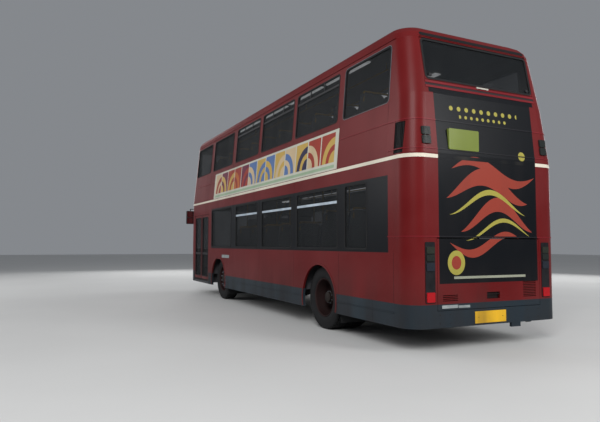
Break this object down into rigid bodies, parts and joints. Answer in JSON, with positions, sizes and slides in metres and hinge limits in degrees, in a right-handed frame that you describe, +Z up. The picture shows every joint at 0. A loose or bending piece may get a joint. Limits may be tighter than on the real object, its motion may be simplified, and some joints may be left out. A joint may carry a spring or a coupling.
{
  "type": "double decker bus",
  "caption": "Two-deck city bus with a front nearside folding entrance, an inside staircase, rows of seats, a rear engine and twin rear tyres.",
  "frame": {"origin": "on the ground under the middle of the box round the whole bus, mirrors included", "axes": "+X forward, +Y to the nearside (the side with the entrance), +Z up"},
  "size_m": [10.16, 2.66, 4.1699],
  "materials": {
    "red_paint": "gloss paint, a little faded",
    "grey_paint": "satin paint",
    "cream_paint": "gloss paint",
    "window_glass": "tinted",
    "floor_covering": "worn sheet covering",
    "chassis_paint": "matt, dusty",
    "engine_metal": "rough cast",
    "seat_fabric": "woven",
    "grey_plastic": "moulded",
    "black_plastic": "moulded",
    "rail_paint": "gloss coating",
    "lamp_plastic": "moulded lenses and housings",
    "blind_plastic": "blank display",
    "trim_paint": "gloss paint",
    "wheel_paint": "gloss paint, dusty",
    "tyre": "worn tread"
  },
  "bodies": {
    "bus": {"lower_sides": "red_paint", "skirt": "grey_paint", "lower_rear": "red_paint", "lower_front": "red_paint", "belt_rail": "cream_paint", "upper_sides": "red_paint", "upper_rear": "red_paint", "upper_front": "red_paint", "roof": "red_paint", "side_glass": "window_glass", "front_glass": "window_glass", "lower_floor": "floor_covering", "upper_floor": "floor_covering", "staircase": "floor_covering", "chassis": "chassis_paint", "engine": "engine_metal", "axles": "chassis_paint", "entrance_well": "floor_covering", "lower_seats": "seat_fabric", "upper_seats": "seat_fabric", "driver_seat": "seat_fabric", "cab": "grey_plastic", "steering_wheel": "black_plastic", "handrails": "rail_paint", "lamps": "lamp_plastic", "mirrors": "black_plastic", "sign_panels": "blind_plastic", "mouldings": "trim_paint"},
    "steering_left": {"knuckle_left": "chassis_paint"},
    "steering_right": {"knuckle_right": "chassis_paint"},
    "front_left_wheel": {"front_wheel_left": "wheel_paint", "front_tyre_left": "tyre"},
    "front_right_wheel": {"front_wheel_right": "wheel_paint", "front_tyre_right": "tyre"},
    "rear_left_wheels": {"rear_wheels_left": "wheel_paint", "rear_tyres_left": "tyre"},
    "rear_right_wheels": {"rear_wheels_right": "wheel_paint", "rear_tyres_right": "tyre"},
    "front_door_leaf": {"door_leaf_front": "red_paint", "door_glass_front": "window_glass"},
    "rear_door_leaf": {"door_leaf_rear": "red_paint", "door_glass_rear": "window_glass"},
    "engine_cover": {"engine_lid": "red_paint"},
    "emergency_exit": {"rear_exit": "red_paint", "rear_exit_glass": "window_glass"}
  },
  "joints": [
    {"name": "steer_left", "type": "hinge", "parent": "bus", "child": "steering_left", "pos_m": [2.27, 0.9, 0.478], "axis": [0, 0, 1], "range_deg": [-38, 38]},
    {"name": "steer_right", "type": "hinge", "parent": "bus", "child": "steering_right", "pos_m": [2.27, -0.9, 0.478], "axis": [0, 0, 1], "range_deg": [-38, 38]},
    {"name": "front_left_wheel_spin", "type": "hinge", "parent": "steering_left", "child": "front_left_wheel", "pos_m": [2.27, 1, 0.478], "axis": [0, 1, 0], "continuous": true},
    {"name": "front_right_wheel_spin", "type": "hinge", "parent": "steering_right", "child": "front_right_wheel", "pos_m": [2.27, -1, 0.478], "axis": [0, 1, 0], "continuous": true},
    {"name": "rear_left_wheels_spin", "type": "hinge", "parent": "bus", "child": "rear_left_wheels", "pos_m": [-2.78, 0.87, 0.478], "axis": [0, 1, 0], "continuous": true},
    {"name": "rear_right_wheels_spin", "type": "hinge", "parent": "bus", "child": "rear_right_wheels", "pos_m": [-2.78, -0.87, 0.478], "axis": [0, 1, 0], "continuous": true},
    {"name": "front_door_leaf_swing", "type": "hinge", "parent": "bus", "child": "front_door_leaf", "pos_m": [4.34, 1.216, 1.2], "axis": [0, 0, 1], "range_deg": [0, 85]},
    {"name": "rear_door_leaf_swing", "type": "hinge", "parent": "bus", "child": "rear_door_leaf", "pos_m": [3.1, 1.216, 1.2], "axis": [0, 0, -1], "range_deg": [0, 85]},
    {"name": "engine_cover_lift", "type": "hinge", "parent": "bus", "child": "engine_cover", "pos_m": [-5.05, 0, 1.357], "axis": [0, 1, 0], "range_deg": [0, 75]},
    {"name": "emergency_exit_lift", "type": "hinge", "parent": "bus", "child": "emergency_exit", "pos_m": [-4.837, 0, 3.871], "axis": [0, 1, 0], "range_deg": [0, 75]}
  ],
  "couplings": [
    {"joint": "steer_right", "follows": "steer_left", "ratio": 1}
  ]
}
